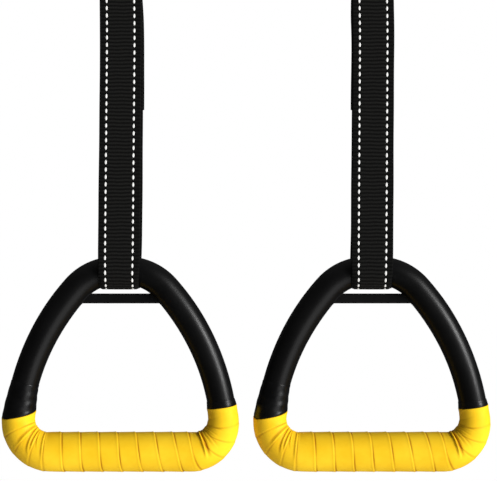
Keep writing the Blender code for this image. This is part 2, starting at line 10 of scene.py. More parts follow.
import bmesh
import bpy
import numpy as np
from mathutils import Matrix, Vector


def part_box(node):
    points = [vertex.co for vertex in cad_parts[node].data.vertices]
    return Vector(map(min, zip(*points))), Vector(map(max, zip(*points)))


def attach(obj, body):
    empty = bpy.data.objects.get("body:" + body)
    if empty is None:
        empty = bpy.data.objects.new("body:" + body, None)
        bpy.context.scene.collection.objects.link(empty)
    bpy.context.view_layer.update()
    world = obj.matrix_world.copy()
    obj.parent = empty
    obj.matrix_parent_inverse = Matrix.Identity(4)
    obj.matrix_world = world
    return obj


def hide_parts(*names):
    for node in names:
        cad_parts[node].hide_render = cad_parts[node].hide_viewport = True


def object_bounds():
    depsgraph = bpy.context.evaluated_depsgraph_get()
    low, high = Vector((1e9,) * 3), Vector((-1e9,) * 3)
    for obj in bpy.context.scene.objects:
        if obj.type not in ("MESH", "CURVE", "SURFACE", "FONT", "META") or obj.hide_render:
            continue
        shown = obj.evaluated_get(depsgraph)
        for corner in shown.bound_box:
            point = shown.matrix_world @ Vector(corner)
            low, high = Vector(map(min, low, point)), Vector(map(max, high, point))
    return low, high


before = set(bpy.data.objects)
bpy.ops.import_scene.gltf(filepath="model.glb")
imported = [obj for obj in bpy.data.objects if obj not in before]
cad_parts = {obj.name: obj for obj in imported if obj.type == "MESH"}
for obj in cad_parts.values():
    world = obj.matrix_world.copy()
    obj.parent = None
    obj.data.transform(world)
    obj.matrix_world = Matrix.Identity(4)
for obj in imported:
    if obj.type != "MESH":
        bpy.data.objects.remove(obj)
CAD_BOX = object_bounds()

MM = 0.001
SIDES = ("left", "right")

# handle, as in the CAD
TUBE_R = 12.7 * MM
TUBE_WALL = 2 * MM
TOP_FLAT = 5 * MM
SHOULDER_R, SHOULDER_END = 48.2 * MM, math.radians(48.35)
LEG_R, LEG_END = 215.9 * MM, math.radians(83.2)
CORNER_R = 29 * MM
GRIP_R = 18.25 * MM  # over the lapped tape
TAPE_DROP = {-1: 131 * MM, 1: 124.6 * MM}
TAPE_END_R = {-1: 15.4 * MM, 1: 14.0 * MM}
TAPE_THICK = 1.3 * MM
WIDE_BAND = (103 * MM, 13.0 * MM, 14.9 * MM)  # upper drop, upper radius, lower radius
NARROW_BAND = (118.8 * MM, 13.1 * MM, 13.7 * MM)

# webbing, as in the CAD
WEB_HALF, WEB_HALF_AT_TUBE, WEB_NARROW = 19 * MM, 18.5 * MM, 40 * MM
WEB_THICK = 2 * MM

# where things are, from the frame
UNIT_X = {side: sum(corner.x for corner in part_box(f"{side}_hook_body")) / 2 for side in SIDES}
UNIT_X = {side: x - UNIT_X["left"] for side, x in UNIT_X.items()}
Z_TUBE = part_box("left_handle_tube")[1].z - TUBE_R
MIDDLE_X = UNIT_X["right"] / 2


# --- camera, light and floor ----------------------------------------------------------------------

VIEW_WIDTH = 457.2 * MM
LENS, SENSOR = 150, 36
VIEW_RIGHT = 1.7 * MM  # of the pair's middle
VIEW_ABOVE_TUBE = 15.1 * MM  # the view's middle, above the top of the tube


def make_camera():
    data = bpy.data.cameras.new("camera")
    data.lens, data.sensor_width = LENS, SENSOR
    camera = bpy.data.objects.new("camera", data)
    bpy.context.scene.collection.objects.link(camera)
    away = VIEW_WIDTH * LENS / SENSOR
    camera.location = (MIDDLE_X + VIEW_RIGHT, -away, Z_TUBE + TUBE_R + VIEW_ABOVE_TUBE)
    camera.rotation_euler = (math.pi / 2, 0, 0)
    bpy.context.scene.camera = camera


def aimed(name, data, azimuth, elevation, distance):
    """A light aimed at the handles. Azimuth 0 is the camera's side, and 90 is +X."""
    light = bpy.data.objects.new(name, data)
    a, e = math.radians(azimuth), math.radians(elevation)
    back = Vector((math.sin(a) * math.cos(e), -math.cos(a) * math.cos(e), math.sin(e)))
    light.location = Vector((MIDDLE_X, 0, Z_TUBE)) + back * distance
    light.rotation_euler = (-back).to_track_quat("-Z", "Y").to_euler()
    bpy.context.scene.collection.objects.link(light)
    return light


def sun(name, azimuth, elevation, strength, spread, shines):
    data = bpy.data.lights.new(name, "SUN")
    data.energy, data.angle = strength, math.radians(spread)
    aimed(name, data, azimuth, elevation, 2).visible_glossy = shines


# name, azimuth, elevation, strength, spread, and whether it shows in reflections
SUNS = (
    ("key", 52, 0, 2.6, 30, False),
    ("low", 40, -28, 0.7, 50, True),
    ("strip", 57, 17, 2.1, 17, True),
    ("back", 180, 10, 1.3, 40, False),
)
ROOM_BELOW, ROOM_OVERHEAD = (0.5, 0.05), (0.95, 0.17)  # height up the sky, and how bright it is


def make_studio():
    """Soft lights from the right, a little from behind, and a dim room.

    The backdrop is white to the camera, and the room is dim but for a soft light overhead.
    """
    for light in SUNS:
        sun(*light)
    world = bpy.data.worlds.new("studio")
    bpy.context.scene.world = world
    world.use_nodes = True
    nodes, link = world.node_tree.nodes, world.node_tree.links.new
    nodes.clear()
    seen, felt = (nodes.new("ShaderNodeBackground") for _ in range(2))
    out = nodes.new("ShaderNodeOutputWorld")
    seen.inputs["Color"].default_value = (1, 1, 1, 1)
    path, mix = nodes.new("ShaderNodeLightPath"), nodes.new("ShaderNodeMixShader")
    link(path.outputs["Is Camera Ray"], mix.inputs["Fac"])
    link(felt.outputs[0], mix.inputs[1])
    link(seen.outputs[0], mix.inputs[2])
    link(mix.outputs[0], out.inputs["Surface"])
    split, overhead = nodes.new("ShaderNodeSeparateXYZ"), nodes.new("ShaderNodeValToRGB")
    link(nodes.new("ShaderNodeTexCoord").outputs["Generated"], split.inputs["Vector"])
    link(split.outputs["Z"], overhead.inputs["Fac"])
    link(overhead.outputs["Color"], felt.inputs["Color"])
    for element, (at, shade) in zip(overhead.color_ramp.elements, (ROOM_BELOW, ROOM_OVERHEAD)):
        element.position, element.color = at, (shade, shade, shade, 1)
    bpy.context.scene.view_settings.view_transform = "Standard"


FLOOR_DROP, FLOOR_R = 350 * MM, 2.6


def make_floor():
    bm = bmesh.new()
    bmesh.ops.create_circle(bm, cap_ends=True, radius=FLOOR_R, segments=96)
    mesh = bpy.data.meshes.new("floor")
    bm.to_mesh(mesh)
    bm.free()
    floor = bpy.data.objects.new("floor", mesh)
    floor.location = (MIDDLE_X, 0, CAD_BOX[0].z - FLOOR_DROP)
    bpy.context.scene.collection.objects.link(floor)
    tree, shader = surface("floor_paint", 0.9, Emission_Color=(1.0, 0.95, 0.88, 1), Emission_Strength=0.27)
    noise = node(tree, "TexNoise", Scale=3.0, Detail=2.0)
    ramp(tree, noise.outputs["Fac"], shader.inputs["Base Color"], (0.76, 0.76, 0.76), (0.8, 0.8, 0.8))
    mesh.materials.append(tree["material"])
    floor.visible_shadow = False  # the low light comes from below its edge
    floor.visible_glossy = False  # so that the undersides of the black tubes stay dark


# --- material nodes -------------------------------------------------------------------------------


def surface(name, roughness, metallic=0.0, **sockets):
    """A new material: a small record of its tree, and its Principled shader."""
    made = bpy.data.materials.new(name)
    made.use_nodes = True
    shader = made.node_tree.nodes["Principled BSDF"]
    shader.inputs["Roughness"].default_value = roughness
    shader.inputs["Metallic"].default_value = metallic
    for socket, value in sockets.items():
        shader.inputs[socket.replace("_", " ")].default_value = value
    return {"material": made, "nodes": made.node_tree.nodes, "links": made.node_tree.links}, shader


def node(tree, kind, vector=None, **sockets):
    made = tree["nodes"].new(f"ShaderNode{kind}")
    for socket, value in sockets.items():
        if isinstance(value, bpy.types.NodeSocket):
            tree["links"].new(value, made.inputs[socket.replace("_", " ")])
        else:
            made.inputs[socket.replace("_", " ")].default_value = value
    if vector:
        tree["links"].new(vector, made.inputs["Vector"])
    return made


def place(tree, scale=(1, 1, 1)):
    """The object's own coordinates, stretched."""
    coordinates = tree["nodes"].new("ShaderNodeTexCoord").outputs["Object"]
    return node(tree, "Mapping", vector=coordinates, Scale=scale).outputs["Vector"]


def shades(tree, value, low, high, start=0.3, end=0.7):
    """A colour or a number that goes from low to high as value goes from start to end."""
    made = tree["nodes"].new("ShaderNodeValToRGB")
    for element, at, shade in zip(made.color_ramp.elements, (start, end), (low, high)):
        element.position = at
        element.color = (*shade, 1) if isinstance(shade, tuple) else (shade, shade, shade, 1)
    tree["links"].new(value, made.inputs["Fac"])
    return made.outputs["Color"]


def ramp(tree, value, target, *limits):
    """Drives a socket with shades of value."""
    tree["links"].new(shades(tree, value, *limits), target)


def blended(tree, share, first, second):
    """A colour between two, each of which is a colour or an output."""
    made = tree["nodes"].new("ShaderNodeMix")
    made.data_type = "RGBA"
    tree["links"].new(share, made.inputs["Factor"])
    for socket, value in ((6, first), (7, second)):
        if isinstance(value, bpy.types.NodeSocket):
            tree["links"].new(value, made.inputs[socket])
        else:
            made.inputs[socket].default_value = (*value, 1)
    return made.outputs[2]


def bump(tree, shader, height, strength, distance):
    """Adds a bump under the shader, on top of any that it has."""
    made = node(tree, "Bump", Height=height, Strength=strength, Distance=distance)
    if shader.inputs["Normal"].links:
        tree["links"].new(shader.inputs["Normal"].links[0].from_socket, made.inputs["Normal"])
    tree["links"].new(made.outputs["Normal"], shader.inputs["Normal"])


def black_coat():
    """Textured powder coat: satin black with a fine leathery grain."""
    tree, shader = surface("black_coat", 0.38, Specular_IOR_Level=0.32)
    spot = place(tree)
    broad = node(tree, "TexNoise", vector=spot, Scale=22.0, Detail=4.0).outputs["Fac"]
    grain = node(tree, "TexVoronoi", vector=spot, Scale=900.0).outputs["Distance"]
    fine = node(tree, "TexNoise", vector=spot, Scale=1500.0, Detail=3.0).outputs["Fac"]
    ramp(tree, broad, shader.inputs["Base Color"], (0.0014, 0.0014, 0.0015), (0.003, 0.003, 0.0031))
    ramp(tree, broad, shader.inputs["Roughness"], 0.33, 0.42)
    bump(tree, shader, grain, 0.22, 0.2 * MM)
    bump(tree, shader, fine, 0.15, 0.12 * MM)
    return tree["material"]


def weave(dark, light, painted_rib_light, roughness):
    """Ribbed webbing, with painted light: its rib crests are coloured lighter than the yarn between them.
    Its UVs are millimetres across and along the strap.
    """
    tree, shader = surface("webbing", roughness, Sheen_Weight=0.02, Specular_IOR_Level=0.08)
    shader.inputs["Sheen Roughness"].default_value = 0.5
    across = tree["nodes"].new("ShaderNodeUVMap")
    across.uv_map = "weave"
    spot = across.outputs["UV"]
    yarn = node(tree, "TexWave", vector=node(tree, "Mapping", vector=spot, Scale=(1.1, 0.25, 1)).outputs[0])
    yarn.inputs["Distortion"].default_value = 1.2
    pick = node(tree, "TexWave", vector=node(tree, "Mapping", vector=spot, Scale=(0.1, 1.4, 1)).outputs[0])
    pick.bands_direction = "Y"
    fuzz = node(tree, "TexNoise", vector=spot, Scale=2.5, Detail=5.0).outputs["Fac"]
    wear = node(tree, "TexNoise", vector=spot, Scale=0.09, Detail=3.0).outputs["Fac"]
    base = blended(tree, wear, dark, light)
    # painted light: the rib attribute blends the yarn towards the lighter crest colour
    rib = tree["nodes"].new("ShaderNodeAttribute")
    rib.attribute_name = "rib"
    lit = blended(tree, rib.outputs["Fac"], base, painted_rib_light)
    tree["links"].new(lit, shader.inputs["Base Color"])
    ramp(tree, fuzz, shader.inputs["Roughness"], roughness - 0.1, roughness + 0.1)
    bump(tree, shader, yarn.outputs["Fac"], 0.35, 0.15 * MM)
    bump(tree, shader, pick.outputs["Fac"], 0.35, 0.15 * MM)
    bump(tree, shader, fuzz, 0.3, 0.1 * MM)
    return tree["material"]


def thread(name, colour):
    """Twisted sewing thread."""
    tree, shader = surface(name, 0.55, Sheen_Weight=0.2)
    twist = node(tree, "TexNoise", vector=place(tree), Scale=2200.0, Detail=2.0).outputs["Fac"]
    dark = tuple(0.82 * c for c in colour)
    ramp(tree, twist, shader.inputs["Base Color"], dark, colour)
    bump(tree, shader, twist, 0.4, 0.15 * MM)
    return tree["material"]


def yellow_tape():
    """Soft overgrip tape with a fine grain and faint stretch marks, and painted shade, a deeper amber, in
    its seams and folds.
    """
    tree, shader = surface("yellow_tape", 0.5, Specular_IOR_Level=0.1)
    spot = place(tree)
    broad = node(tree, "TexNoise", vector=spot, Scale=38.0, Detail=3.0, Roughness=0.6).outputs["Fac"]
    grain = node(tree, "TexNoise", vector=spot, Scale=1300.0, Detail=3.0).outputs["Fac"]
    pulled = place(tree, (70, 70, 800))
    stretch = node(tree, "TexNoise", vector=pulled, Scale=1.0, Detail=3.0).outputs["Fac"]
    # painted shade: the attribute read here mixes the tape towards deep amber in its seams and folds
    crease = tree["nodes"].new("ShaderNodeAttribute")
    crease.attribute_name = "crease"
    plain = shades(tree, broad, (0.86, 0.51, 0.012), (0.95, 0.61, 0.022))
    # the deep amber of the painted shade
    base = blended(tree, crease.outputs["Fac"], plain, (0.32, 0.1, 0.002))
    tree["links"].new(base, shader.inputs["Base Color"])
    ramp(tree, broad, shader.inputs["Roughness"], 0.44, 0.56)
    bump(tree, shader, stretch, 0.12, 0.3 * MM)
    bump(tree, shader, grain, 0.25, 0.1 * MM)
    return tree["material"]


def black_tape():
    """Finishing tape: smooth, a little glossy, with faint wrinkles."""
    tree, shader = surface("black_tape", 0.32, Specular_IOR_Level=0.35)
    spot = place(tree, (1, 1, 2.5))
    pull = node(tree, "TexNoise", vector=spot, Scale=90.0, Detail=3.0).outputs["Fac"]
    fine = node(tree, "TexNoise", vector=spot, Scale=1400.0, Detail=2.0).outputs["Fac"]
    ramp(tree, pull, shader.inputs["Base Color"], (0.0012, 0.0012, 0.0014), (0.003, 0.003, 0.0032))
    ramp(tree, pull, shader.inputs["Roughness"], 0.28, 0.4)
    bump(tree, shader, pull, 0.15, 0.4 * MM)
    bump(tree, shader, fine, 0.12, 0.08 * MM)
    return tree["material"]


def foam():
    """Closed-cell foam."""
    tree, shader = surface("foam", 0.9)
    cells = node(tree, "TexVoronoi", vector=place(tree), Scale=1600.0).outputs["Distance"]
    ramp(tree, cells, shader.inputs["Base Color"], (0.012, 0.012, 0.012), (0.035, 0.035, 0.036), 0.0, 0.6)
    bump(tree, shader, cells, 0.6, 0.2 * MM)
    return tree["material"]


def metal(name, dark, light, rough_low, rough_high, drawn):
    """Dull plated metal: a cloudy surface with fine marks drawn along one direction."""
    tree, shader = surface(name, rough_low, 0.7)
    cloudy = node(tree, "TexNoise", vector=place(tree), Scale=85.0, Detail=5.0, Roughness=0.65)
    marks = node(tree, "TexNoise", vector=place(tree, drawn), Scale=1.0, Detail=4.0).outputs["Fac"]
    specks = node(tree, "TexNoise", vector=place(tree), Scale=900.0, Detail=3.0).outputs["Fac"]
    ramp(tree, cloudy.outputs["Fac"], shader.inputs["Base Color"], dark, light)
    ramp(tree, marks, shader.inputs["Roughness"], rough_low, rough_high)
    bump(tree, shader, marks, 0.12, 0.1 * MM)
    bump(tree, shader, specks, 0.12, 0.06 * MM)
    return tree["material"]


# --- meshes ---------------------------------------------------------------------------------------


def set_piece(name, mesh, side, body, material, slot, *nodes):
    """Places a unit's piece, hangs it from the body that it rides on, and hides the CAD parts that it
    stands for.
    """
    if not mesh.materials:
        mesh.materials.append(material)
    piece = bpy.data.objects.new(f"{side}_{name}", mesh)
    bpy.context.scene.collection.objects.link(piece)
    piece.location = (UNIT_X[side], 0, 0)
    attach(piece, f"{side}_{body}")
    if nodes:
        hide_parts(*(f"{side}_{node_name}" for node_name in nodes))
    return piece


def torus(name, grid, sharp=40, **attributes):
    """A closed surface of grid[row][around], joined up both ways. Attributes are per point."""
    rows, around = grid.shape[:2]
    here = np.arange(rows * around).reshape(rows, around)
    on = np.roll(here, -1, axis=0)
    faces = np.stack([here, np.roll(here, -1, 1), np.roll(on, -1, 1), on], -1).reshape(-1, 4)
    return finished(name, grid.reshape(-1, 3), faces, sharp, **attributes)


def capped_faces(rows, around):
    """Faces of a closed sleeve of rows, whose first and last rows are filled in."""
    here = np.arange(rows * around).reshape(rows, around)
    sides = np.stack([here[:-1], np.roll(here[:-1], -1, 1), np.roll(here[1:], -1, 1), here[1:]], -1)
    return [list(face) for face in sides.reshape(-1, 4)] + [list(here[0]), list(here[-1])]


def finished(name, points, faces, sharp=40, **attributes):
    """A mesh with its faces turned outwards and smooth between its sharp edges."""
    mesh = bpy.data.meshes.new(name)
    mesh.from_pydata(points.tolist(), [], [list(map(int, face)) for face in faces])
    for attribute, values in attributes.items():
        layer = mesh.attributes.new(attribute, "FLOAT", "POINT")
        layer.data.foreach_set("value", values.reshape(-1).astype(np.float32))
    bm = bmesh.new()
    bm.from_mesh(mesh)
    bmesh.ops.recalc_face_normals(bm, faces=bm.faces)
    bm.to_mesh(mesh)
    bm.free()
    mesh.shade_smooth()
    mesh.set_sharp_from_angle(angle=math.radians(sharp))
    return mesh


def smooth(value):
    value = np.clip(value, 0, 1)
    return value * value * (3 - 2 * value)


def mound(value):
    return np.exp(-value * value)


# --- the handle's centreline ----------------------------------------------------------------------


def centreline_arcs():
    """(length, radius, heading, x, drop) of each stretch, from the top's middle to the bar's middle."""
    arcs = [(TOP_FLAT, 0.0, 0.0, 0.0, 0.0)]
    x, drop, heading = TOP_FLAT, 0.0, 0.0
    for radius, end in ((SHOULDER_R, SHOULDER_END), (LEG_R, LEG_END), (CORNER_R, math.pi)):
        arcs.append((radius * (end - heading), radius, heading, x, drop))
        x += radius * (math.sin(end) - math.sin(heading))
        drop += radius * (math.cos(heading) - math.cos(end))
        heading = end
    arcs.append((x, 0.0, heading, x, drop))
    return arcs


ARCS = centreline_arcs()
HALF_LENGTH = sum(arc[0] for arc in ARCS)
FLAT_HALF = ARCS[-1][0]  # of the bottom bar
CORNER_END = FLAT_HALF + ARCS[3][0]  # where the corner meets the leg


def centreline(p):
    """(centre, outward direction) at each p, both shaped like p with a last axis of 3."""
    p = (np.asarray(p, float) + HALF_LENGTH) % (2 * HALF_LENGTH) - HALF_LENGTH
    side, left = np.where(p < 0, -1.0, 1.0), HALF_LENGTH - np.abs(p)
    x, drop, heading = np.zeros_like(p), np.zeros_like(p), np.zeros_like(p)
    start = 0.0
    for i, (length, radius, first, x0, drop0) in enumerate(ARCS):
        on = left - start
        inside = (on >= 0) if i else np.ones_like(p, bool)
        if radius:
            turned_to = first + np.minimum(on, length) / radius
            here_x = x0 + radius * (np.sin(turned_to) - math.sin(first))
            here_drop = drop0 + radius * (math.cos(first) - np.cos(turned_to))
        else:
            turned_to = np.full_like(p, first)
            here_x = x0 + on * math.cos(first)
            here_drop = drop0 + on * math.sin(first)
        x, drop = np.where(inside, here_x, x), np.where(inside, here_drop, drop)
        heading = np.where(inside, turned_to, heading)
        start += length
    zero = np.zeros_like(p)
    centre = np.stack([side * x, zero, Z_TUBE - drop], -1)
    return centre, np.stack([side * np.sin(heading), zero, np.cos(heading)], -1)


def round_points(p, turn, radius):
    """Points at that turn and radius about the centreline at p, all broadcast together."""
    p, turn, radius = np.broadcast_arrays(p, turn, radius)
    centre, out = centreline(p)
    front = np.array([0.0, -1.0, 0.0])
    return centre + radius[..., None] * (np.cos(turn)[..., None] * out + np.sin(turn)[..., None] * front)


def p_at_drop(drop):
    """How far along from the bar's middle a leg reaches that drop below the tube's axis at its top."""
    _, radius, first, _, high = ARCS[2]
    end = math.acos(math.cos(first) - (drop - high) / radius)
    return HALF_LENGTH - ARCS[0][0] - ARCS[1][0] - radius * (end - first)


def turns(count):
    return math.tau * (np.arange(count) + 0.5) / count


# --- tube, cross bar and pad ----------------------------------------------------------------------


SLEEVE = 0.5 * MM  # how much thicker the coat is round the tube's top


def tube_mesh():
    """The bent tube with its bore, butted at the bottom bar's middle."""
    count, around = 420, turns(48)
    end = HALF_LENGTH - 0.5 * MM
    from_top = np.linspace(-end, end, count)[:, None]
    along = from_top + HALF_LENGTH
    thicker = SLEEVE * smooth((140 * MM - np.abs(from_top)) / (80 * MM))
    outer = round_points(along, around, TUBE_R + thicker)
    inner = round_points(along, around, TUBE_R - TUBE_WALL)
    return torus("handle_tube", np.concatenate([outer, inner[::-1]]))


BAR_DROP, BAR_HEIGHT, BAR_DEPTH = 25.5 * MM, 9 * MM, 6 * MM
BAR_EDGE_R = 0.7 * MM


def bar_half(drop):
    """Half of the handle's inside width at that drop."""
    p = HALF_LENGTH - np.linspace(TOP_FLAT, ARCS[0][0] + ARCS[1][0] + 40 * MM, 600)
    centre, out = centreline(p)
    edge = centre - TUBE_R * out
    return np.interp(drop, Z_TUBE - edge[:, 2], edge[:, 0])


def cross_bar_mesh():
    """A flat bar with rolled edges, coped to the tube at both ends."""
    section = []
    for i, (sy, sz) in enumerate(((1, 1), (-1, 1), (-1, -1), (1, -1))):
        for k in range(5):
            t = math.pi / 2 * (i + k / 4)
            y = sy * (BAR_DEPTH / 2 - BAR_EDGE_R) + BAR_EDGE_R * math.cos(t)
            z = sz * (BAR_HEIGHT / 2 - BAR_EDGE_R) + BAR_EDGE_R * math.sin(t)
            section.append((y, z))
    section = np.array(section)
    reach = bar_half(BAR_DROP - section[:, 1])
    cope = TUBE_R - np.sqrt(TUBE_R**2 - section[:, 0] ** 2)
    shares = np.concatenate([[-1, -0.97], np.linspace(-0.93, 0.93, 13), [0.97, 1]])
    rings = []
    for share in shares:
        x = share * (reach + cope * 0.9)
        z = Z_TUBE - BAR_DROP + section[:, 1]
        rings.append(np.stack([x, section[:, 0], z], -1))
    rings = np.array(rings)
    return finished("cross_bar", rings.reshape(-1, 3), capped_faces(*rings.shape[:2]))


def weld_mesh(sign):
    """A weld bead, with its ripples, round one end of the cross bar where it meets the tube."""
    count, sides = 96, 10
    t = np.linspace(0, math.tau, count, endpoint=False)
    power = 0.35
    y = (BAR_DEPTH / 2 + 0.5 * MM) * np.sign(np.cos(t)) * np.abs(np.cos(t)) ** power
    z = (BAR_HEIGHT / 2 + 0.3 * MM) * np.sign(np.sin(t)) * np.abs(np.sin(t)) ** power
    cope = TUBE_R - np.sqrt(TUBE_R**2 - y**2)
    line = np.stack([sign * (bar_half(BAR_DROP - z) + cope), y, Z_TUBE - BAR_DROP + z], -1)
    along = np.roll(line, -1, 0) - np.roll(line, 1, 0)
    along /= np.linalg.norm(along, axis=1)[:, None]
    inward = np.tile([-sign, 0.0, 0.0], (count, 1))
    inward -= (inward * along).sum(1)[:, None] * along
    inward /= np.linalg.norm(inward, axis=1)[:, None]
    aside = np.cross(along, inward)
    size = (0.75 + 0.08 * np.sin(t * 24)) * MM
    a = turns(sides)[None, :, None]
    grid = line[:, None] + size[:, None, None] * (np.cos(a) * inward[:, None] + np.sin(a) * aside[:, None])
    return torus("weld", grid, 60)


# --- grip -----------------------------------------------------------------------------------------

# the tape's edge as it winds: (turns wound, where it is inside the handle, how much further on it is
# outside), in mm from the bar's middle. It laps more in the corners than along the bar.
WINDING = np.array((
    (-6, -131, 8.5), (-1, -74, 8.5), (0, -54.8, 4), (3, -3.5, 5.7), (5, 30.7, 8.8), (6, 47.8, 10.8),
    (7, 61.7, 10.1), (8, 76.5, 10), (12, 122.5, 10),
))
LAP = 0.45 * MM  # thickness that one turn adds on the last
LIP, LIP_WIDTH = 0.2 * MM, 0.9 * MM
GROOVE, GROOVE_WIDTH = 0.5 * MM, 0.7 * MM
TAPE_TILT = {-1: 4.35 * MM, 1: 0.35 * MM}  # how much higher the tape's edge is inside the handle
TAPE_SAG = {-1: 3.2 * MM, 1: 1.0 * MM}  # and how much lower on the front

# folds of the tape in the corners: degrees round the corner from the bar, at the inside and at the far end,
# how far out that end is (0 inside, 1 outside), half width and height in mm
FOLDS = {
    -1: ((20, 10, 0.6, 1.0, 0.25), (40, 26, 0.35, 0.9, 0.35), (46, 33, 0.5, 1.0, 0.5),
         (57, 35, 0.62, 1.1, 0.5), (67, 53, 0.64, 1.3, 0.4), (79, 74, 0.4, 1.0, 0.2)),
    1: ((33, 24, 0.62, 1.2, 1.5), (43, 39, 0.42, 0.7, 0.2), (51, 45, 0.55, 0.9, 0.3),
        (62, 59, 0.4, 0.9, 0.2), (73, 71, 0.45, 1.0, 0.2)),
}


# the tape's rounded ends: how far in from the end, and below the surface, in mm
TAPE_LIP = ((0.0, 0.55), (0.05, 0.25), (0.25, 0.0))


PLEAT, PLEAT_SPACING = 0.12 * MM, 2.1 * MM  # fine pleats on the inside of the corners


def grip_radius(p):
    """The grip's plain outer radius: it grows from the tape's ends to the thick bottom bar."""
    radius = np.zeros_like(p)
    for side in (-1, 1):
        start = p_at_drop(TAPE_DROP[side])
        share = smooth((start - side * p) / (start - FLAT_HALF + 5 * MM))
        here = TAPE_END_R[side] + (GRIP_R - TAPE_END_R[side]) * share
        radius = np.where(side * p >= 0, here, radius)
    return radius


def tape_edge(side, turn):
    """Where the tape's upper edge is on that side's leg, as a distance from the bar's middle."""
    return p_at_drop(TAPE_DROP[side]) - TAPE_TILT[side] * np.cos(turn) - TAPE_SAG[side] * np.sin(turn)


def seam_at(number, turn):
    """p of the numbered seam at that turn. It winds from the inside over the front to the outside."""
    count = number + ((math.pi - turn) / math.tau) % 1.0
    inner, lean = (np.interp(count, WINDING[:, 0], WINDING[:, i]) * MM for i in (1, 2))
    pitch = np.interp(count + 0.5, WINDING[:, 0], WINDING[:, 1]) * MM - inner
    return inner + (lean - pitch) * np.sin(math.pi * count) ** 2


def lapping(p, turn):
    """(height, painted shade) of the tape's lapped turns: each ends in a thin lip over the next one's
    start.
    """
    rise, crease = np.zeros_like(p), np.zeros_like(p)
    for number in range(-6, 12):
        start, end = seam_at(number, turn), seam_at(number + 1, turn)
        inside = (p >= start) & (p < end)
        share = (p - start) / (end - start)
        settled = smooth((p - start) / (0.5 * MM))
        rise = np.where(inside, LAP * (0.25 + 0.75 * share) * settled, rise)
        off = p - end
        rise += LIP * mound((off + 1.4 * LIP_WIDTH) / LIP_WIDTH)
        rise -= GROOVE * mound((off - 0.25 * MM) / GROOVE_WIDTH)
        # painted shade in the groove beside each seam, stronger on some turns than on others
        seam_shade_strength = 0.7 + 0.3 * np.sin(5.1 * number + 3 * turn)
        crease += seam_shade_strength * mound((off - 0.3 * MM) / GROOVE_WIDTH)
    return rise, crease


def folding(p, turn):
    """(height, painted shade) of the folds that fan out from the inside of each corner."""
    outness = (1 + np.cos(turn)) / 2
    rise, crease = np.zeros_like(p), np.zeros_like(p)
    for side, folds in FOLDS.items():
        for first, last, reach, width, height in folds:
            degrees = first + (last - first) * outness / reach
            off = (side * p - FLAT_HALF - CORNER_R * np.radians(degrees)) / (width * MM)
            shown = smooth((reach + 0.15 - outness) / 0.3) * smooth(0.3 + outness / 0.12)
            rise += shown * height * MM * (mound(off) - 0.8 * mound(off - 1.9))
            # painted shade in the hollow just past each fold
            crease += shown * min(0.75, 1.2 * height) * mound((off - 1.9) / 1.1)
        begun = smooth((side * p - FLAT_HALF + 2 * MM) / (8 * MM))
        in_corner = begun * smooth((CORNER_END - side * p) / (10 * MM))
        pleats = np.sin(side * p / PLEAT_SPACING + 1.5 * np.sin(turn * 2))
        rise += in_corner * smooth((0.35 - outness) / 0.35) * PLEAT * pleats
    return rise, crease


def tape_mesh():
    """The wound tape, with its lapped turns along the bar and its folds in the corners."""
    around = turns(144)[None, :]
    count = 400
    share = np.linspace(0, 1, count)[:, None]
    left, right = -tape_edge(-1, around), tape_edge(1, around)
    along = left + (right - left) * share
    plain = grip_radius(along)
    lap_rise, lap_crease = lapping(along, around)
    fold_rise, fold_crease = folding(along, around)
    wound = smooth((CORNER_END + 3 * MM - np.abs(along)) / (14 * MM))  # the legs are wrapped smooth
    wound *= 1 - 0.5 * smooth((np.abs(along) - FLAT_HALF) / (10 * MM))  # and the corners pulled tight
    near_end = smooth(np.minimum(along - left, right - along) / (4 * MM))
    rise = (lap_rise * (0.06 + 0.94 * wound) - LAP * 0.6 + fold_rise) * near_end
    # painted shade of the seams and folds, faint where the legs are wrapped smooth
    crease = np.clip(lap_crease * (0.05 + 0.95 * wound) + fold_crease, 0, 1) * near_end
    outer = np.maximum(plain + rise, TUBE_R + 0.8 * MM)
    inner = along[::8][::-1]
    rows = [*(left + back * MM for back, _ in TAPE_LIP), along[1:-1],
            *(right - back * MM for back, _ in reversed(TAPE_LIP)), inner]
    radii = [*(outer[:1] - low * MM for _, low in TAPE_LIP), outer[1:-1],
             *(outer[-1:] - low * MM for _, low in reversed(TAPE_LIP)),
             np.maximum(grip_radius(inner) - TAPE_THICK - 0.6 * MM, TUBE_R + 0.1 * MM)]
    plain_lips = np.zeros((len(TAPE_LIP), around.shape[1]))
    # the painted shade goes to the tape's material as a point attribute; the tape's ends and inside get
    # none
    dark = np.concatenate([plain_lips, crease[1:-1], plain_lips, np.zeros_like(inner)])
    rows, radii = np.concatenate(rows), np.concatenate(radii)
    return torus("grip_tape", round_points(rows, around, radii), 60, crease=dark)


def pad_mesh():
    """Foam under the tape, from the one corner's first bend to the other's."""
    around = turns(48)
    end = CORNER_END - 8 * MM
    along = np.linspace(-end, end, 120)[:, None]
    outer = grip_radius(along) - TAPE_THICK - 1.0 * MM
    outer = np.minimum(outer, TUBE_R + 0.6 * MM + (end - np.abs(along)) * 0.5)
    outer = round_points(along, around, np.maximum(outer, TUBE_R + 0.5 * MM))
    inner = round_points(along, around, TUBE_R + 0.1 * MM)
    return torus("grip_pad", np.concatenate([outer, inner[::-1]]))


